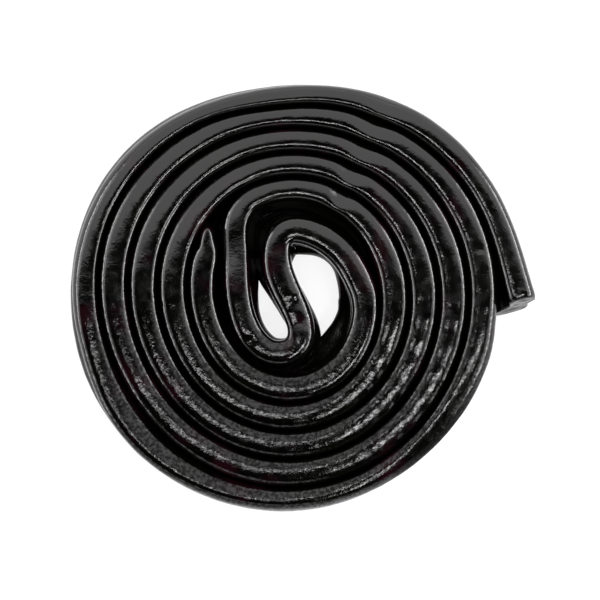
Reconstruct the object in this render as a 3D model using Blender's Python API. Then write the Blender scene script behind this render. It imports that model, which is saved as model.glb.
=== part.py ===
"""A black licorice wheel.

Two strings of licorice are stuck together one above the other, folded in the middle
into an S, and both halves are wound flat around it, clockwise seen from above.
The strand is one solid. The wheel lies flat, with its origin under the middle of its
box, +Z up and +X towards the loose outer end.
"""

import math

import bmesh
import bpy
import numpy as np

MM = 0.001

# Strand
WHEEL_HEIGHT = 6.0 * MM
STRING_WIDTH = 3.15 * MM
TURN_GAP = 0.2 * MM

# Coil: the gap between neighbouring turns is one spiral around a pole. Its radius grows
# with the turns, which count clockwise from the top (+Y), and the coil is slightly oval.
POLE = np.array((-1.58, 0.23)) * MM
INNER_RADIUS = 10.20 * MM
PITCH = 3.265 * MM
SINK = 0.125 * MM
OVAL = 0.736 * MM
OVAL_FADE = 0.196 * MM
SKEW = 0.103 * MM
THREE_LOBES = 0.090 * MM

# Where each half of the strand begins and ends, in turns along the gap
SHORT_HALF_START = 0.28
SHORT_HALF_END = 0.862
LONG_HALF_START = -0.07
LONG_HALF_END = 4.254

# Outer turn: no neighbour holds it, so it has a width of its own
RIM_START = 3.25
RIM_BLEND = 0.05
RIM_WIDTH = 3.01 * MM
RIM_SWELL = 0.49 * MM
RIM_SWELL_BEARING = math.radians(195)
RIM_LIFT = 0.30 * MM

# Its slight lumps: how many there are in a turn, height in millimetres, bearing of one in degrees
RIM_LUMPS = (
    (1, 0.095, -167),
    (3, 0.135, -24),
    (4, 0.108, -34),
    (5, 0.103, -11),
)

# Loose outer end: the upper string swings away from the wheel, and both are cut at a slant
SWING_START = 4.19
SWING = 0.95 * MM
CUT_SLANT = 1.2 * MM
CUT_ROUND = 0.2 * MM
CUT_SIZE = 0.90

# Inner end: pinched to a wedge, the lower string longer than the upper
WEDGE_LENGTH = 4.2 * MM
WEDGE_WIDTH = 0.9 * MM
WEDGE_SLANT = 1.8 * MM

# Under: how far the lower string lies to the left of the upper one, looking along the
# strand from its inner end. The lower string is wound tighter round the S than the upper.
UNDER_SHORT = 1.95 * MM
UNDER_SHORT_END = 0.55 * MM
UNDER_SHORT_TURN = 0.55
UNDER_LONG = -1.0 * MM
UNDER_FADE = 0.8
UNDER_TOP_LEFT = 0.4 * MM
TOP_LEFT_BEARING = math.radians(135)
TOP_LEFT_SPREAD = math.radians(50)

# On the outer turn the lower string stands out at the left
RIM_UNDER = 0.9 * MM
RIM_UNDER_BEARING = math.radians(200)
RIM_UNDER_SPREAD = math.radians(32)
RIM_UNDER_BLEND = 0.1

# Middle of the wheel, in millimetres: x, y, width and under of the strand, from the end
# of the short half at the right, round the S, to the start of the long half at the top
S_BEND = (
    (6.93, 0.45, 3.30, 1.90),
    (6.10, 2.40, 3.35, 1.60),
    (4.80, 4.55, 3.35, 1.20),
    (3.00, 6.30, 3.35, 1.00),
    (0.80, 7.45, 3.30, 0.60),
    (-1.45, 7.80, 3.20, -0.30),
    (-2.85, 6.85, 3.20, -0.80),
    (-3.25, 5.25, 3.35, -0.60),
    (-3.10, 3.15, 3.50, -0.40),
    (-2.25, 0.95, 3.50, -0.20),
    (-1.15, -1.30, 3.35, 0.00),
    (-0.42, -3.40, 3.20, 0.25),
    (-0.62, -5.25, 3.10, 0.30),
    (-2.05, -6.45, 3.05, 0.05),
    (-4.15, -6.40, 3.05, -0.10),
    (-5.90, -5.00, 3.10, -0.20),
    (-7.05, -2.90, 3.15, -0.30),
    (-7.75, 0.00, 3.15, -0.60),
    (-8.05, 4.30, 3.15, -0.60),
    (-8.22, 8.00, 3.10, -0.75),
    (-7.80, 9.75, 3.05, -1.00),
)

# Half of the strand's section: sideways as a share of half the width, then height as a
# share of the wheel's. The waist between the two strings is halfway up.
HALF_SECTION = (
    (0.56, 0.968),
    (0.90, 0.870),
    (1.00, 0.730),
    (0.76, 0.500),
    (1.00, 0.270),
    (0.90, 0.115),
    (0.56, 0.000),
)
WAIST = 0.5
STRING_REACH = 0.12
BEND_REACH = 0.92

# How finely the strand is divided
SHORT_HALF_STEP = 0.001
LONG_HALF_STEP = 0.0005
STEPS_PER_KNOT = 20
FINE_STEP = 0.1 * MM
SMOOTHING = 1.2 * MM
LONGEST_STEP = 2.5 * MM
SHARPEST_TURN = math.radians(8.5)
SMOOTH_BELOW = math.radians(50)

# Colour and gloss
LICORICE_COLOR = (0.012, 0.010, 0.010, 1.0)
LICORICE_ROUGHNESS = 0.28


def clear_scene():
    for thing in list(bpy.data.objects):
        bpy.data.objects.remove(thing, do_unlink=True)


def bearing(turns):
    """Angle from +X of a place along the coil."""
    return math.pi / 2 - 2 * math.pi * turns


def gap_radius(turns):
    """Distance from the pole to the gap between two turns."""
    angle = bearing(turns)
    steady = INNER_RADIUS - OVAL * np.cos(2 * angle) - SKEW * np.sin(2 * angle)
    growth = PITCH - SINK * np.sin(angle) + OVAL_FADE * np.cos(2 * angle) + THREE_LOBES * np.sin(3 * angle)
    return steady + growth * turns


def ease(value, start, end):
    """A smooth rise from 0 at start to 1 at end."""
    share = np.clip((value - start) / (end - start), 0, 1)
    return share * share * (3 - 2 * share)


def near(angle, middle, spread):
    """1 at the middle bearing, falling off smoothly to both sides of it."""
    off = np.angle(np.exp(1j * (angle - middle))) / spread
    return np.exp(-(off**2))


def around_pole(turns, radius):
    """Points at these radii, as columns x and y."""
    angle = bearing(turns)
    return POLE + np.stack((np.cos(angle), np.sin(angle)), axis=1) * radius[:, None]


def short_half():
    """Stations x, y, width, under from the pinched inner end to the S."""
    turns = np.arange(SHORT_HALF_END, SHORT_HALF_START, -SHORT_HALF_STEP)
    width = np.full_like(turns, STRING_WIDTH)
    from_end = along(around_pole(turns, gap_radius(turns)))
    width -= (STRING_WIDTH - WEDGE_WIDTH) * (1 - ease(from_end, 0, WEDGE_LENGTH))
    radius = gap_radius(turns) - (width + TURN_GAP) / 2
    toward_end = ease(turns, SHORT_HALF_START, UNDER_SHORT_TURN)
    under = UNDER_SHORT + (UNDER_SHORT_END - UNDER_SHORT) * toward_end
    return np.column_stack((around_pole(turns, radius), width, under))


def s_bend():
    """Stations along a smooth curve through the middle of the wheel."""
    knots = np.array(S_BEND) * MM
    knots = np.vstack((2 * knots[0] - knots[1], knots, 2 * knots[-1] - knots[-2]))
    steps = np.linspace(0, 1, STEPS_PER_KNOT, endpoint=False)[:, None]
    pieces = []
    for before, start, end, after in zip(knots, knots[1:], knots[2:], knots[3:]):
        bend = 2 * before - 5 * start + 4 * end - after
        twist = 3 * start - before - 3 * end + after
        pieces.append(start + 0.5 * steps * (end - before + steps * (bend + steps * twist)))
    return np.vstack(pieces)


def long_half():
    """Stations from the top of the S round the wheel to the loose outer end."""
    turns = np.arange(LONG_HALF_START, LONG_HALF_END, LONG_HALF_STEP)
    angle = bearing(turns)
    inner_wall = gap_radius(turns)
    packed_wall = gap_radius(turns + 1)
    swell = RIM_SWELL * np.cos(2 * (angle - RIM_SWELL_BEARING))
    free_wall = inner_wall + RIM_WIDTH + TURN_GAP + swell - RIM_LIFT * np.sin(angle)
    for count, height, middle in RIM_LUMPS:
        free_wall += height * MM * np.cos(count * (angle - math.radians(middle)))
    freed = ease(turns, RIM_START, RIM_START + RIM_BLEND)
    on_rim = ease(turns, RIM_START, RIM_START + RIM_UNDER_BLEND)
    under = UNDER_LONG * np.exp(-turns / UNDER_FADE)
    under += UNDER_TOP_LEFT * near(angle, TOP_LEFT_BEARING, TOP_LEFT_SPREAD) * ease(turns, 0, 1)
    under += RIM_UNDER * near(angle, RIM_UNDER_BEARING, RIM_UNDER_SPREAD) * on_rim
    free_wall -= np.maximum(under, 0)
    outer_wall = packed_wall + (free_wall - packed_wall) * freed
    swung = np.clip((turns - SWING_START) / (LONG_HALF_END - SWING_START), 0, 1)
    swing = SWING * swung**3
    radius = (inner_wall + outer_wall) / 2 + swing
    width = outer_wall - inner_wall - TURN_GAP
    return np.column_stack((around_pole(turns, radius), width, under - swing))


def along(points):
    """Distance from the first point to each point."""
    steps = np.hypot(*np.diff(points[:, :2], axis=0).T)
    return np.concatenate(((0,), np.cumsum(steps)))


def fine_line():
    """The whole strand at even small steps, smoothed where its stretches meet."""
    raw = np.vstack((short_half(), s_bend(), long_half()))
    place = along(raw)
    even = np.arange(0, place[-1], FINE_STEP)
    line = np.column_stack([np.interp(even, place, column) for column in raw.T])
    reach = int(SMOOTHING / FINE_STEP)
    weights = np.hanning(2 * reach + 3)[1:-1]
    weights /= weights.sum()
    for column in range(line.shape[1]):
        values = line[:, column]
        padded = np.concatenate((
            2 * values[0] - values[reach:0:-1],
            values,
            2 * values[-1] - values[-2:-reach - 2:-1],
        ))
        line[:, column] = np.convolve(padded, weights, mode="valid")
    return line


def sideways(line):
    """Unit vectors to the left of the way the strand runs."""
    ahead = np.gradient(line[:, :2], axis=0)
    ahead /= np.linalg.norm(ahead, axis=1)[:, None]
    return np.column_stack((-ahead[:, 1], ahead[:, 0]))


def heading(sides):
    """Direction of the strand as one running angle, which grows in left bends."""
    return np.unwrap(np.arctan2(sides[:, 1], sides[:, 0]))


def chosen_stations(line):
    """Indices of the sections, closer together where the strand bends sharply."""
    direction = heading(sideways(line))
    chosen = [0]
    for index in range(1, len(line)):
        length = (index - chosen[-1]) * FINE_STEP
        turned = abs(direction[index] - direction[chosen[-1]])
        if length >= LONGEST_STEP or turned >= SHARPEST_TURN:
            chosen.append(index)
    if len(line) - 1 - chosen[-1] < LONGEST_STEP / FINE_STEP / 2:
        chosen.pop()
    return chosen + [len(line) - 1]


def section(station, side, curve=0.0, size=1.0, slant=0.0, forward=0.0):
    """Corners of the strand's section, once round it from the middle of the top.

    On the inside of a bend they stop short of its middle, so that sections never cross.
    """
    x, y, width, under = station
    outline = [(0.0, 1.0)]
    outline += [(-across, height) for across, height in HALF_SECTION]
    outline += [(across, height) for across, height in reversed(HALF_SECTION)]
    corners = []
    for across, height in outline:
        lower = min(max((WAIST - height) / STRING_REACH, -1), 1) / 2 + 0.5
        offset = size * across * width / 2 + lower * under
        if offset * curve > BEND_REACH:
            offset = BEND_REACH / curve
        ahead = forward + slant * (1 - height)
        corners.append((
            x + side[0] * offset + side[1] * ahead,
            y + side[1] * offset - side[0] * ahead,
            WHEEL_HEIGHT * (WAIST + size * (height - WAIST)),
        ))
    return corners


def strand_mesh():
    """The strand as one closed loft through its sections."""
    line = fine_line()
    sides = sideways(line)
    curves = np.gradient(heading(sides), FINE_STEP)
    chosen = chosen_stations(line)
    first, last = chosen[0], chosen[-1]
    rings = [
        section(line[first], sides[first], 0, CUT_SIZE, -WEDGE_SLANT, -CUT_ROUND),
        section(line[first], sides[first], 0, 1, -WEDGE_SLANT),
    ]
    rings += [section(line[index], sides[index], curves[index]) for index in chosen[1:-1]]
    rings += [
        section(line[last], sides[last], 0, 1, CUT_SLANT),
        section(line[last], sides[last], 0, CUT_SIZE, CUT_SLANT, CUT_ROUND),
    ]
    shape = bmesh.new()
    loops = [[shape.verts.new(corner) for corner in ring] for ring in rings]
    for loop, following in zip(loops, loops[1:]):
        for corner in range(len(loop)):
            beside = (corner + 1) % len(loop)
            shape.faces.new((loop[corner], loop[beside], following[beside], following[corner]))
    shape.faces.new(reversed(loops[0]))
    shape.faces.new(loops[-1])
    bmesh.ops.recalc_face_normals(shape, faces=shape.faces)
    mesh = bpy.data.meshes.new("licorice_wheel")
    shape.to_mesh(mesh)
    shape.free()
    return mesh


def licorice_material():
    material = bpy.data.materials.new("black_licorice")
    material.use_nodes = True
    shader = material.node_tree.nodes["Principled BSDF"]
    shader.inputs["Base Color"].default_value = LICORICE_COLOR
    shader.inputs["Roughness"].default_value = LICORICE_ROUGHNESS
    return material


def build():
    clear_scene()
    collection = bpy.data.collections.new("licorice_wheel")
    bpy.context.scene.collection.children.link(collection)
    mesh = strand_mesh()
    mesh.materials.append(licorice_material())
    mesh.shade_smooth()
    mesh.set_sharp_from_angle(angle=SMOOTH_BELOW)
    wheel = bpy.data.objects.new("licorice_wheel", mesh)
    collection.objects.link(wheel)
    return wheel


build()
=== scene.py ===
"""A black licorice wheel on a white table: the fine shape of its strand, its glossy
black skin, and light and camera as in the photo. Lengths are in metres."""
import math

import bmesh
import bpy
import numpy as np
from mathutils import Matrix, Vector, noise


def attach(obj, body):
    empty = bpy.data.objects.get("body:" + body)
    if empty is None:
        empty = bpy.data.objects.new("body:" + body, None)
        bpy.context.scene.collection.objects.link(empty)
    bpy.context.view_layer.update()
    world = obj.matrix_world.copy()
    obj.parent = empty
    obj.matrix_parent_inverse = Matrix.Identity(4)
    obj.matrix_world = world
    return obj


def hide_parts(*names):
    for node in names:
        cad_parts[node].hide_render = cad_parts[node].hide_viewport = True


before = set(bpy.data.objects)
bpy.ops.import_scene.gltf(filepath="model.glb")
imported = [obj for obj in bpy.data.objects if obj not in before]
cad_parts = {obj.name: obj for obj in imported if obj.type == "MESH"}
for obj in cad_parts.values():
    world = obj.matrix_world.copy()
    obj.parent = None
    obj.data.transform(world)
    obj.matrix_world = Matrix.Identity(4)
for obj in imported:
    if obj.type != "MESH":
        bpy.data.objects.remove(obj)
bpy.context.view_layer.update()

MM = 0.001

# Coil. A place on it is given in turns: the bearing from the pole is a quarter turn less
# that many turns, so it runs clockwise from the top.
WHEEL_HEIGHT = 6.0 * MM
STRING_WIDTH = 3.15 * MM
TURN_GAP = 0.2 * MM
POLE = np.array((-1.58, 0.23)) * MM
INNER_RADIUS = 10.20 * MM
PITCH = 3.265 * MM
SINK = 0.125 * MM
OVAL = 0.736 * MM
OVAL_FADE = 0.196 * MM
SKEW = 0.103 * MM
THREE_LOBES = 0.090 * MM
SHORT_HALF_START = 0.28
SHORT_HALF_END = 0.857
SHORT_HALF_STEP = 0.001
LONG_HALF_START = -0.07
LONG_HALF_END = 4.254
LONG_HALF_STEP = 0.0005

# Outer turn. The lumps are: how many in a turn, height in millimetres, bearing in degrees.
RIM_START = 3.25
RIM_BLEND = 0.05
RIM_WIDTH = 3.01 * MM
RIM_SWELL = 0.49 * MM
RIM_SWELL_BEARING = math.radians(195)
RIM_LIFT = 0.30 * MM
RIM_LUMPS = ((1, 0.095, -167), (3, 0.135, -24), (4, 0.108, -34), (5, 0.103, -11))
RIM_UNDER = 0.5 * MM
RIM_UNDER_BEARING = math.radians(197)
RIM_UNDER_SPREAD = math.radians(15)
RIM_UNDER_BLEND = 0.1
RIM_DIP = 0.4 * MM
RIM_DIP_BEARING = math.radians(97)
RIM_DIP_SPREAD = math.radians(14)

# Loose outer end
SWING_START = 4.19
SWING = 1.08 * MM
SWING_FILL = 1.0 * MM
SWING_FILL_LEAD = 0.03
CUT_SLANT = 1.2 * MM
CUT_LENGTH = 4 * MM
END_ROUNDING = 0.7 * MM
END_TUCK = 0.12

# Pinched inner end
WEDGE_LENGTH = 3.9 * MM
WEDGE_WIDTH = 1.45 * MM
WEDGE_SLANT = 1.8 * MM
WEDGE_SLANT_LENGTH = 3 * MM
WEDGE_TURN_OUT = 1.1 * MM
WEDGE_TURN_START = 0.83
TIP_ROUNDING = 0.9 * MM
TIP_TUCK = 0.55

# How far the lower string lies to the left of the upper one, seen along the strand, on the
# short half by turns in millimetres, and on the long half
UNDER_SHORT = ((0.28, 1.40), (0.30, 1.55), (0.35, 2.1), (0.417, 2.5), (0.47, 1.7), (0.55, 0.55))
UNDER_LONG = -1.0 * MM
UNDER_FADE = 0.8
UNDER_TOP_LEFT = 0.4 * MM
TOP_LEFT_BEARING = math.radians(135)
TOP_LEFT_SPREAD = math.radians(50)

# How much further the lower string reaches where it closes the slots beside the S
SHORT_FILL = 0.5 * MM
SHORT_FILL_LEAD = 0.05
LONG_FILL = 2.3 * MM
LONG_FILL_TURNS = 0.35
LONG_FILL_REST = 1.2 * MM
OUTER_FILL = 0.5 * MM
OUTER_FILL_TURNS = 0.3

# Middle of the wheel in millimetres: x, y, width, under, and how much further the lower
# string reaches to its left and to its right
S_BEND = (
    (6.93, 0.45, 3.30, 1.20, 0.0, 1.2),
    (6.10, 2.40, 3.35, 0.60, 0.0, 0.9),
    (4.80, 4.55, 3.35, 0.05, 0.0, 0.65),
    (3.00, 6.30, 3.35, 0.20, 0.0, 0.8),
    (0.80, 7.45, 3.30, -0.10, 0.9, 0.5),
    (-1.45, 7.80, 3.20, -0.30, 1.4, 0.7),
    (-2.85, 6.85, 3.20, -0.80, 1.4, 0.6),
    (-3.25, 5.25, 3.35, -0.60, 1.1, 0.6),
    (-3.10, 3.15, 3.50, -0.40, 0.0, 0.3),
    (-2.25, 0.95, 3.50, -0.20, 0.0, 0.0),
    (-1.15, -1.30, 3.35, 0.00, 0.0, 0.0),
    (-0.42, -3.40, 3.20, 0.25, 0.1, 0.0),
    (-0.62, -5.25, 3.10, 0.30, 0.6, 0.0),
    (-2.05, -6.45, 3.05, 0.05, 0.9, 0.0),
    (-4.15, -6.40, 3.05, -0.10, 0.9, 0.0),
    (-5.90, -5.00, 3.10, -0.20, 0.6, 0.0),
    (-7.05, -2.90, 3.15, -0.30, 0.4, 0.0),
    (-7.75, 0.00, 3.15, -0.60, 0.4, 0.0),
    (-8.05, 4.30, 3.15, -0.60, 0.9, 0.5),
    (-8.22, 8.00, 3.10, -0.75, 1.9, 0.6),
    (-7.80, 9.75, 3.05, -1.00, 2.5, 0.5),
)
S_STEPS = 20
COLUMNS = 6
# The strand turns from the short half into the long half over this share of the S
HALF_CHANGE = (0.25, 0.6)

# Fineness of the skin
FINE_STEP = 0.1 * MM
SMOOTHING = 1.2 * MM
RING_EVERY = 3
CROWN_POINTS = 20
SIDE_POINTS = 4
SIDE_TURN = math.radians(18)

# Section: heights are shares of the wheel's height
UPPER_MIDDLE = 0.75
LOWER_MIDDLE = 0.25
STRING_HALF_HEIGHT = 0.25
ROUNDNESS = 2.7
WAIST_WIDTH = 0.80
WAIST_DEPTH = 0.02
WAIST_BLEND = 0.12
SOLE = ((0.5, 0.006), (0.42, 0.0), (0.15, 0.0))
BULGE_ROUNDNESS = 2.2
BULGE_START = (3.15, 3.3)
BULGE_LEAST = 0.3
BULGE_BEARING = math.radians(268)
BULGE_SPREAD = math.radians(42)
BEND_REACH = 0.92
TOUCH = 0.08 * MM
RIM_INSET = 0.02 * MM

# Faces of the two ends
CAP_RINGS = 9
CRINKLE = 0.16 * MM
CRINKLE_LENGTH = 0.8 * MM
CRINKLE_SINK = 0.3

# Outward leans of the top: bearing, spread and lean in degrees
PACKED_LEANS = ((131, 24, 13.0), (314, 34, 13.0))
KINK_LEANS = ((64, 5.5, 19.0),)
RIM_LEANS = ((128, 45, 22.0), (232, 36, -18.0), (318, 30, 24.0))
RIM_LEAN_START = (3.2, 3.3)
LEAN_DROP = 0.42
CROWN_START = 0.5
CROWN_BLEND = 0.4

# Lengthwise swellings at the lower right
WAVE_HEIGHT = 0.06 * MM
WAVE_LENGTH = 3.0 * MM
WAVE_BEARING = math.radians(-45)
WAVE_SPREAD = math.radians(38)
WAVE_RIM_LOSS = 0.8
WANDER = 7
WANDER_LENGTH = 9 * MM
WANDER_SEED = (4, 2)

# Unevenness of the whole skin: height and length in millimetres, and where in the noise
SWELLS = ((0.030, 2.6, (0, 0, 0)), (0.012, 0.9, (7, 3, 1)))

# Small marks in the top: x, y, radius and depth in millimetres
DENTS = (
    (-6.37, -5.14, 0.50, 0.20),
    (20.39, 5.55, 0.35, 0.14),
    (25.00, 1.29, 0.30, 0.12),
)
DENTS_ABOVE = 0.7 * WHEEL_HEIGHT

# Skin. The tint is by noise: place on the ramp and colour.
REFRACTION = 1.5
TINTS = (
    (0.30, (0.0055, 0.0008, 0.0018, 1)),
    (0.45, (0.0005, 0.0004, 0.0004, 1)),
    (0.72, (0.0009, 0.0010, 0.0004, 1)),
)
SHEEN = 0.5
FINE_BUMP = 0.04 * MM
COARSE_BUMP = 0.04 * MM

# A hair under the flat soles, which lie at 0
TABLE_TOP = -0.03 * MM
TABLE_HALF = 3.0
TABLE_COLOR = (0.2, 0.2, 0.2)
TABLE_ROUGHNESS = 0.9
TABLE_GLOW = 0.8

# Lights: name, centre, target and size in millimetres, and radiance. The softbox reaches
# from near the zenith down to the table at the back.
LIGHTS = (
    ("top_softbox", (0, 326, 151), (0, 66, -364), (1000, 640), 1.8),
    ("near_strip", (-9, -17, 86), (-9, -12, 0), (42, 5.5), 20.0),
    ("corner_strip", (42, -42, 86), (12, -12, 0), (52, 10), 28.0),
    ("left_panel", (-300, 0, 120), (0, 0, 0), (420, 190), 2.4),
    ("left_strip", (-290, 0, 70), (0, 0, 0), (420, 50), 9.0),
    ("right_panel", (300, 0, 120), (0, 0, 0), (420, 190), 2.8),
    ("right_strip", (290, 0, 70), (0, 0, 0), (420, 50), 14.0),
    ("low_front", (-45, -75, 24), (-45, 0, 10), (120, 24), 1.5),
    ("overhead", (0, 0, 600), (0, 0, 0), (900, 900), 0.3),
)
MATT_LIGHTS = ("overhead",)

# World: pale at the horizon, dark above, by the height of the view direction
HORIZON = (0.03, (0.5, 0.5, 0.5, 1))
SKY = (0.22, (0.01, 0.01, 0.01, 1))

# Camera: straight down from far off
VIEW_WIDTH = 69.75 * MM
VIEW_CENTRE = (-0.526 * MM, -0.350 * MM)
CAMERA_DISTANCE = 450 * MM
SENSOR = 36.0
CLIP = (0.01, 10)


def ease(value, start, end):
    """0 before the start, 1 after the end, smooth between them."""
    share = np.clip((value - start) / (end - start), 0, 1)
    return share * share * (3 - 2 * share)


def bearing(turns):
    return math.pi / 2 - 2 * math.pi * turns


def gap_radius(turns):
    """Radius of the line between one turn and the next one out."""
    angle = bearing(turns)
    steady = INNER_RADIUS - OVAL * np.cos(2 * angle) - SKEW * np.sin(2 * angle)
    growth = PITCH - SINK * np.sin(angle) + OVAL_FADE * np.cos(2 * angle)
    growth += THREE_LOBES * np.sin(3 * angle)
    return steady + growth * turns


def near(angle, middle, spread):
    """1 at the middle bearing, falling off smoothly to both sides of it."""
    off = np.angle(np.exp(1j * (angle - middle))) / spread
    return np.exp(-(off**2))


def around_pole(turns, radius):
    angle = bearing(turns)
    return POLE + np.stack((np.cos(angle), np.sin(angle)), axis=1) * radius[:, None]


def along(points):
    """Distance of each point from the first one along the line."""
    steps = np.hypot(*np.diff(points[:, :2], axis=0).T)
    return np.concatenate(((0,), np.cumsum(steps)))


def short_half():
    """From the pinched inner end, anticlockwise to the S."""
    turns = np.arange(SHORT_HALF_END, SHORT_HALF_START, -SHORT_HALF_STEP)
    from_end = along(around_pole(turns, gap_radius(turns)))
    pinch = (STRING_WIDTH - WEDGE_WIDTH) * (1 - ease(from_end, 0, WEDGE_LENGTH))
    width = STRING_WIDTH - pinch
    turned = (turns - WEDGE_TURN_START) / (SHORT_HALF_END - WEDGE_TURN_START)
    out = WEDGE_TURN_OUT * np.clip(turned, 0, 1)
    radius = gap_radius(turns) - (STRING_WIDTH + TURN_GAP) / 2 + out
    under = np.interp(turns, *zip(*UNDER_SHORT)) * MM
    fill = SHORT_FILL * ease(turns, SHORT_HALF_START + SHORT_FILL_LEAD, SHORT_HALF_END)
    left = fill + pinch / 2 + out
    right = under + pinch / 2 - out
    return np.column_stack((around_pole(turns, radius), width, under, left, right))


def s_bend():
    """A smooth curve through the knots of the S."""
    knots = np.array(S_BEND) * MM
    knots = np.vstack((2 * knots[0] - knots[1], knots, 2 * knots[-1] - knots[-2]))
    steps = np.linspace(0, 1, S_STEPS, endpoint=False)[:, None]
    pieces = []
    for before, start, end, after in zip(knots, knots[1:], knots[2:], knots[3:]):
        bend = 2 * before - 5 * start + 4 * end - after
        twist = 3 * start - before - 3 * end + after
        pieces.append(start + 0.5 * steps * (end - before + steps * (bend + steps * twist)))
    return np.vstack(pieces)


def long_half():
    """From the S, clockwise round it to the loose outer end."""
    turns = np.arange(LONG_HALF_START, LONG_HALF_END, LONG_HALF_STEP)
    angle = bearing(turns)
    dip = RIM_DIP * near(angle, RIM_DIP_BEARING, RIM_DIP_SPREAD)
    inner_wall = gap_radius(turns) - dip * (turns > LONG_HALF_END - 0.5)
    packed_wall = gap_radius(turns + 1) - dip * (turns > LONG_HALF_END - 1.5)
    swell = RIM_SWELL * np.cos(2 * (angle - RIM_SWELL_BEARING))
    free_wall = gap_radius(turns) + RIM_WIDTH + TURN_GAP + swell - RIM_LIFT * np.sin(angle)
    for count, height, middle in RIM_LUMPS:
        free_wall += height * MM * np.cos(count * (angle - math.radians(middle)))
    under = UNDER_LONG * np.exp(-turns / UNDER_FADE)
    under += UNDER_TOP_LEFT * near(angle, TOP_LEFT_BEARING, TOP_LEFT_SPREAD) * ease(turns, 0, 1)
    under_rim = RIM_UNDER * near(angle, RIM_UNDER_BEARING, RIM_UNDER_SPREAD)
    under_rim *= ease(turns, RIM_START, RIM_START + RIM_UNDER_BLEND)
    under += under_rim
    free_wall -= np.maximum(under, 0)
    freed = ease(turns, RIM_START, RIM_START + RIM_BLEND)
    outer_wall = packed_wall + (free_wall - packed_wall) * freed
    swung = np.clip((turns - SWING_START) / (LONG_HALF_END - SWING_START), 0, 1)
    swing = SWING * swung**3
    radius = (inner_wall + outer_wall) / 2 + swing
    width = outer_wall - inner_wall - TURN_GAP
    left = LONG_FILL * (1 - ease(turns, 0, LONG_FILL_TURNS))
    left += LONG_FILL_REST * np.exp(-turns / UNDER_FADE)
    right = OUTER_FILL * (1 - ease(turns, 0, OUTER_FILL_TURNS)) + under_rim
    right += SWING_FILL * ease(turns, SWING_START - SWING_FILL_LEAD, LONG_HALF_END)
    return np.column_stack((around_pole(turns, radius), width, under - swing, left, right))


def fine_line():
    """x, y, width, under, left and right reach at even small steps, and each place's part
    of the strand: -1 on the short half, +1 on the long half, between them in the S."""
    parts = (short_half(), s_bend(), long_half())
    raw = np.vstack(parts)
    place = along(raw)
    even = np.arange(0, place[-1], FINE_STEP)
    line = np.column_stack([np.interp(even, place, column) for column in raw.T])
    reach = int(SMOOTHING / FINE_STEP)
    weights = np.hanning(2 * reach + 3)[1:-1]
    weights /= weights.sum()
    for column in range(COLUMNS):
        values = line[:, column]
        padded = np.concatenate((
            2 * values[0] - values[reach:0:-1],
            values,
            2 * values[-1] - values[-2:-reach - 2:-1],
        ))
        line[:, column] = np.convolve(padded, weights, mode="valid")
    s_start = place[len(parts[0])]
    s_end = place[len(parts[0]) + len(parts[1]) - 1]
    change = [s_start + share * (s_end - s_start) for share in HALF_CHANGE]
    return line, 2 * ease(even, *change) - 1


def ring_table():
    """Points once round the section, from the right equator of the upper string over its
    crown: share of the half width (left positive) and share of the height."""
    crown = []
    for k in range(CROWN_POINTS):
        turn = math.pi * (k / (CROWN_POINTS - 1) - 0.5)
        across = math.copysign(abs(math.sin(turn)) ** (2 / ROUNDNESS), math.sin(turn))
        rise = STRING_HALF_HEIGHT * abs(math.cos(turn)) ** (2 / ROUNDNESS)
        crown.append((across, UPPER_MIDDLE + rise))
    flank = []
    for k in range(1, SIDE_POINTS):
        drop = STRING_HALF_HEIGHT * math.sin(SIDE_TURN * k) ** (2 / ROUNDNESS)
        flank.append((math.cos(SIDE_TURN * k) ** (2 / ROUNDNESS), drop))
    upper = [(max(across, WAIST_WIDTH), UPPER_MIDDLE - drop) for across, drop in flank]
    waist = [(WAIST_WIDTH - WAIST_DEPTH, 0.5)]
    lower = [(max(across, WAIST_WIDTH), LOWER_MIDDLE + drop) for across, drop in reversed(flank)]
    foot = [(across, LOWER_MIDDLE - drop) for across, drop in flank]
    side = upper + waist + lower + [(1.0, LOWER_MIDDLE)] + foot + list(SOLE)
    return np.array(crown + side + [(-across, height) for across, height in reversed(side)])


def lean_of(angle, half, turns):
    """How much the top of the upper string leans outward, in degrees, by its place."""
    def total(leans):
        return sum(
            lean * near(angle, math.radians(centre), math.radians(spread))
            for centre, spread, lean in leans
        )

    rim = ease(turns, *RIM_LEAN_START)
    coil = total(PACKED_LEANS) * (1 - rim) + total(KINK_LEANS)
    return coil * (half > 0) + total(RIM_LEANS) * rim


def bulge_of(angle, turns):
    """How far the outer side is one bulge instead of two strings, from 0 to 1."""
    swollen = near(angle, BULGE_BEARING, BULGE_SPREAD)
    return ease(turns, *BULGE_START) * (BULGE_LEAST + (1 - BULGE_LEAST) * swollen)


def wave_of(angle, half, turns, place):
    """Depth of the valleys between the lengthwise swellings, negative."""
    wander = np.array([
        noise.noise(Vector((k * FINE_STEP / WANDER_LENGTH, *WANDER_SEED)))
        for k in range(len(place))
    ])
    packed = (half > 0) * (1 - WAVE_RIM_LOSS * ease(turns, RIM_START, RIM_START + RIM_BLEND))
    wave = WAVE_HEIGHT * near(angle, WAVE_BEARING, WAVE_SPREAD) * packed
    return wave * (np.cos(2 * math.pi * place / WAVE_LENGTH + WANDER * wander) - 1)


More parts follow.
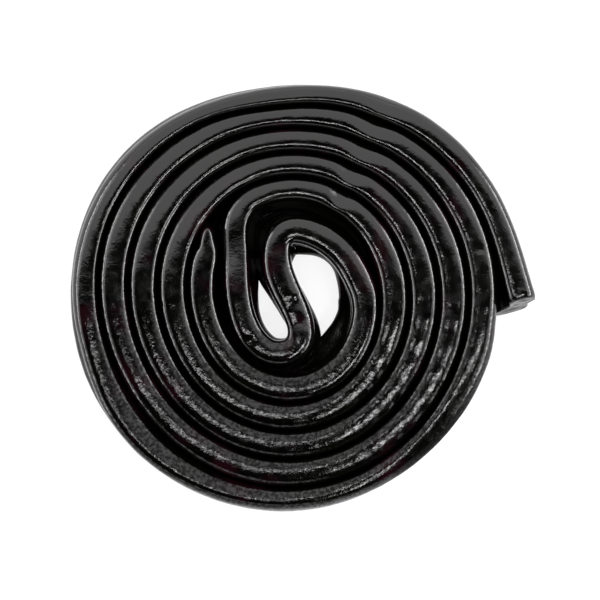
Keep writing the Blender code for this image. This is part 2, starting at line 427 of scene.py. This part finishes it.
def skin_points(line, half):
    """Corners of every section: stations by ring points by x, y, z."""
    ahead = np.gradient(line[:, :2], axis=0)
    ahead /= np.linalg.norm(ahead, axis=1)[:, None]
    sides = np.column_stack((-ahead[:, 1], ahead[:, 0]))
    curve = np.gradient(np.unwrap(np.arctan2(sides[:, 1], sides[:, 0])), FINE_STEP)
    ring = ring_table()
    across, height = ring[:, 0], ring[:, 1]
    lower = np.clip((0.5 - height) / WAIST_BLEND, -1, 1) / 2 + 0.5
    width, under, left, right = (line[:, k][:, None] for k in (2, 3, 4, 5))
    angle = np.arctan2(line[:, 1] - POLE[1], line[:, 0] - POLE[0])
    place = np.arange(len(line)) * FINE_STEP
    lap = np.unwrap(angle)
    turns = LONG_HALF_END - (lap - lap[-1]) / (2 * math.pi)

    # sideways: the two strings, how they touch their neighbours, and the rounded ends
    round_side = (1 - np.abs(2 * height - 1) ** BULGE_ROUNDNESS) ** (1 / BULGE_ROUNDNESS)
    bulge = bulge_of(angle, turns)[:, None] * (across > 0)[None, :]
    share = across[None, :] + (round_side - across)[None, :] * bulge
    free = ease(turns, RIM_START, RIM_START + RIM_BLEND)[:, None] * (across > 0)[None, :]
    upper = share * (width / 2 - RIM_INSET * free)
    reach = np.where(share > 0, left, right)
    touch = (TURN_GAP / 2 + TOUCH) * (1 - free) - RIM_INSET * free
    below = share * (width / 2 + touch + reach) + under
    offset = upper * (1 - lower) + below * lower
    tight = offset * curve[:, None] > BEND_REACH
    offset = np.where(tight, BEND_REACH / np.where(tight, curve[:, None], 1), offset)
    end_tuck = END_TUCK * np.clip(1 - (place[-1] - place) / END_ROUNDING, 0, 1)[:, None] ** 2
    tip_tuck = TIP_TUCK * np.clip(1 - place / TIP_ROUNDING, 0, 1)[:, None] ** 2
    offset *= (1 - end_tuck) * (1 - tip_tuck)

    # lengthwise: the slanting cuts of the ends
    slant = CUT_SLANT * ease(place, place[-1] - CUT_LENGTH, place[-1])
    slant -= WEDGE_SLANT * (1 - ease(place, 0, WEDGE_SLANT_LENGTH))
    forward = slant[:, None] * (1 - height[None, :])

    # upward: the leaning, wavy crown
    lean = np.tan(np.radians(lean_of(angle, half, turns)))[:, None]
    tilt = -lean * upper - np.abs(lean) * width * LEAN_DROP
    wave = wave_of(angle, half, turns, place)[:, None]
    crown = np.clip((height - CROWN_START) / CROWN_BLEND, 0, 1)
    rise = (height[None, :] - 0.5) * (1 - end_tuck) + 0.5

    points = np.empty((len(line), len(ring), 3))
    for axis in (0, 1):
        points[:, :, axis] = line[:, axis, None] + sides[:, axis, None] * offset
        points[:, :, axis] += ahead[:, axis, None] * forward
    points[:, :, 2] = WHEEL_HEIGHT * rise + (tilt + wave) * crown[None, :]
    return points[::RING_EVERY]


def strand_mesh(points):
    """The skin as one closed mesh, with crinkled faces at both ends."""
    ring = points.shape[1]
    shape = bmesh.new()

    def band(loop, following):
        for corner in range(ring):
            beside = (corner + 1) % ring
            shape.faces.new((loop[corner], loop[beside], following[beside], following[corner]))

    loops = [[shape.verts.new(corner) for corner in row] for row in points]
    for loop, following in zip(loops, loops[1:]):
        band(loop, following)
    for loop, beyond in ((loops[0], loops[1]), (loops[-1], loops[-2])):
        previous = loop
        centre = sum((v.co for v in loop), Vector()) / ring
        outward = (loop[0].co - beyond[0].co).normalized()
        for step in range(1, CAP_RINGS):
            size = 1 - step / CAP_RINGS
            inner = []
            for v in loop:
                spot = centre + (v.co - centre) * size
                crease = noise.noise(spot / CRINKLE_LENGTH) - CRINKLE_SINK
                inner.append(shape.verts.new(spot + outward * CRINKLE * crease))
            band(previous, inner)
            previous = inner
        shape.faces.new(previous)
    bmesh.ops.recalc_face_normals(shape, faces=shape.faces)
    mesh = bpy.data.meshes.new("licorice_strand")
    shape.to_mesh(mesh)
    shape.free()
    mesh.shade_smooth()
    return mesh


def unevenness(mesh):
    """Small dents and swellings, as the soft strand has them."""
    count = len(mesh.vertices)
    places = np.empty(count * 3)
    normals = np.empty(count * 3)
    mesh.vertices.foreach_get("co", places)
    mesh.vertex_normals.foreach_get("vector", normals)
    places, normals = places.reshape(-1, 3), normals.reshape(-1, 3)
    move = np.zeros(count)
    for height, length, shift in SWELLS:
        move += height * MM * np.array([
            noise.noise(Vector(place) / (length * MM) + Vector(shift)) for place in places
        ])
    places = places + normals * move[:, None]
    for x, y, radius, depth in DENTS:
        off = np.hypot(places[:, 0] - x * MM, places[:, 1] - y * MM) / (radius * MM)
        places[:, 2] -= depth * MM * np.exp(-(off**2)) * (places[:, 2] > DENTS_ABOVE)
    places[:, 2] = np.clip(places[:, 2], 0, WHEEL_HEIGHT)
    mesh.vertices.foreach_set("co", places.ravel())
    mesh.update()


def licorice_material():
    material = bpy.data.materials.new("black_licorice")
    material.use_nodes = True
    nodes, links = material.node_tree.nodes, material.node_tree.links
    shader = nodes["Principled BSDF"]
    shader.inputs["IOR"].default_value = REFRACTION
    coordinates = nodes.new("ShaderNodeTexCoord").outputs["Object"]
    split = nodes.new("ShaderNodeSeparateXYZ")
    links.new(coordinates, split.inputs["Vector"])

    def texture(scale, detail):
        node = nodes.new("ShaderNodeTexNoise")
        node.inputs["Scale"].default_value = scale
        node.inputs["Detail"].default_value = detail
        node.inputs["Roughness"].default_value = 0.5
        links.new(coordinates, node.inputs["Vector"])
        return node.outputs["Fac"]

    def mapped(value, source, target):
        node = nodes.new("ShaderNodeMapRange")
        node.inputs["From Min"].default_value, node.inputs["From Max"].default_value = source
        node.inputs["To Min"].default_value, node.inputs["To Max"].default_value = target
        links.new(value, node.inputs["Value"])
        return node.outputs["Result"]

    def combined(operation, first, second):
        node = nodes.new("ShaderNodeMath")
        node.operation = operation
        links.new(first, node.inputs[0])
        links.new(second, node.inputs[1])
        return node.outputs["Value"]

    def bumped(distance, strength, height, normal=None):
        node = nodes.new("ShaderNodeBump")
        node.inputs["Distance"].default_value = distance
        links.new(strength, node.inputs["Strength"])
        links.new(height, node.inputs["Height"])
        if normal:
            links.new(normal, node.inputs["Normal"])
        return node.outputs["Normal"]

    # black with faint red and green places
    tint = nodes.new("ShaderNodeValToRGB")
    first, last = tint.color_ramp.elements
    for element, (position, color) in zip((first, last), (TINTS[0], TINTS[-1])):
        element.position = position
        element.color = color
    tint.color_ramp.elements.new(TINTS[1][0]).color = TINTS[1][1]
    links.new(texture(160, 3), tint.inputs["Fac"])
    links.new(tint.outputs["Color"], shader.inputs["Base Color"])

    # glossy, a little duller toward the lower right
    lower_right = combined("SUBTRACT", split.outputs["X"], split.outputs["Y"])
    gloss = mapped(texture(900, 3), (0.35, 0.65), (0.07, 0.17))
    dull = mapped(lower_right, (2 * MM, 26 * MM), (0.0, 0.05))
    links.new(combined("ADD", gloss, dull), shader.inputs["Roughness"])

    # specular level: mottled below the middle, with the reflections weakened toward the front as
    # painted shade; weak on the lower right of the rim and on the lower string, which is painted
    # shade as well
    toward_front = mapped(split.outputs["Y"], (4 * MM, -9 * MM), (0.0, 1.0))
    # painted shade: toward the front the reflections are mottled and weaker
    front_dimmed_sheen = nodes.new("ShaderNodeMix")
    front_dimmed_sheen.inputs["A"].default_value = SHEEN
    links.new(toward_front, front_dimmed_sheen.inputs["Factor"])
    links.new(mapped(texture(2600, 2), (0.40, 0.60), (0.12, 0.44)), front_dimmed_sheen.inputs["B"])
    # painted shade: the reflections of the outer turn's lower right are nearly taken away
    painted_rim_shade = mapped(lower_right, (29 * MM, 32 * MM), (1.0, 0.08))
    # painted shade: weaker reflections low down, on the lower string deep between the turns
    painted_recess_shade = mapped(split.outputs["Z"], (2.6 * MM, 3.4 * MM), (0.4, 1.0))
    painted_shade = combined("MULTIPLY", painted_rim_shade, painted_recess_shade)
    level = combined("MULTIPLY", front_dimmed_sheen.outputs["Result"], painted_shade)
    links.new(level, shader.inputs["Specular IOR Level"])

    # wavy and grainy
    wavy = mapped(toward_front, (0.0, 1.0), (0.5, 1.0))
    grain = mapped(split.outputs["Y"], (20 * MM, -15 * MM), (0.3, 0.55))
    coarse = bumped(COARSE_BUMP, wavy, texture(1000, 2))
    fine = bumped(FINE_BUMP, grain, texture(4200, 2), coarse)
    links.new(fine, shader.inputs["Normal"])
    return material


def table_material():
    material = bpy.data.materials.new("white_table")
    material.use_nodes = True
    inputs = material.node_tree.nodes["Principled BSDF"].inputs
    inputs["Base Color"].default_value = (*TABLE_COLOR, 1)
    inputs["Roughness"].default_value = TABLE_ROUGHNESS
    inputs["Emission Color"].default_value = (1, 1, 1, 1)
    inputs["Emission Strength"].default_value = TABLE_GLOW
    return material


def make_floor():
    mesh = bpy.data.meshes.new("table")
    signs = ((-1, -1), (1, -1), (1, 1), (-1, 1))
    corners = [(x * TABLE_HALF, y * TABLE_HALF, TABLE_TOP) for x, y in signs]
    mesh.from_pydata(corners, [], [(0, 1, 2, 3)])
    mesh.materials.append(table_material())
    table = bpy.data.objects.new("table", mesh)
    bpy.context.scene.collection.objects.link(table)


def make_light(name, centre, target, size, radiance):
    """A rectangular soft light of this radiance, facing the target."""
    lamp = bpy.data.lights.new(name, "AREA")
    lamp.shape = "RECTANGLE"
    lamp.size, lamp.size_y = (side * MM for side in size)
    lamp.energy = radiance * math.pi * lamp.size * lamp.size_y
    thing = bpy.data.objects.new(name, lamp)
    thing.location = Vector(centre) * MM
    way = Vector(target) - Vector(centre)
    thing.rotation_euler = way.to_track_quat("-Z", "Y").to_euler()
    thing.visible_camera = False
    thing.visible_glossy = name not in MATT_LIGHTS
    bpy.context.scene.collection.objects.link(thing)


def make_camera():
    camera = bpy.data.cameras.new("camera")
    camera.sensor_width = SENSOR
    camera.lens = SENSOR * CAMERA_DISTANCE / VIEW_WIDTH
    camera.clip_start, camera.clip_end = CLIP
    thing = bpy.data.objects.new("camera", camera)
    thing.location = (*VIEW_CENTRE, WHEEL_HEIGHT + CAMERA_DISTANCE)
    bpy.context.scene.collection.objects.link(thing)
    bpy.context.scene.camera = thing


def make_world():
    world = bpy.data.worlds.new("room")
    world.use_nodes = True
    bpy.context.scene.world = world
    nodes, links = world.node_tree.nodes, world.node_tree.links
    background = nodes["Background"]
    background.inputs["Strength"].default_value = 1.0
    coordinates = nodes.new("ShaderNodeTexCoord")
    split = nodes.new("ShaderNodeSeparateXYZ")
    ramp = nodes.new("ShaderNodeValToRGB")
    for element, (position, color) in zip(ramp.color_ramp.elements, (HORIZON, SKY)):
        element.position = position
        element.color = color
    links.new(coordinates.outputs["Generated"], split.inputs["Vector"])
    links.new(split.outputs["Z"], ramp.inputs["Fac"])
    links.new(ramp.outputs["Color"], background.inputs["Color"])


def main():
    line, half = fine_line()
    mesh = strand_mesh(skin_points(line, half))
    unevenness(mesh)
    mesh.materials.append(licorice_material())
    wheel = bpy.data.objects.new("licorice_strand", mesh)
    bpy.context.scene.collection.objects.link(wheel)
    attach(wheel, "root")
    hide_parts("licorice_wheel")
    make_floor()
    make_world()
    for light in LIGHTS:
        make_light(*light)
    make_camera()
    bpy.context.scene.view_settings.view_transform = "Standard"


main()
bpy.context.view_layer.update()
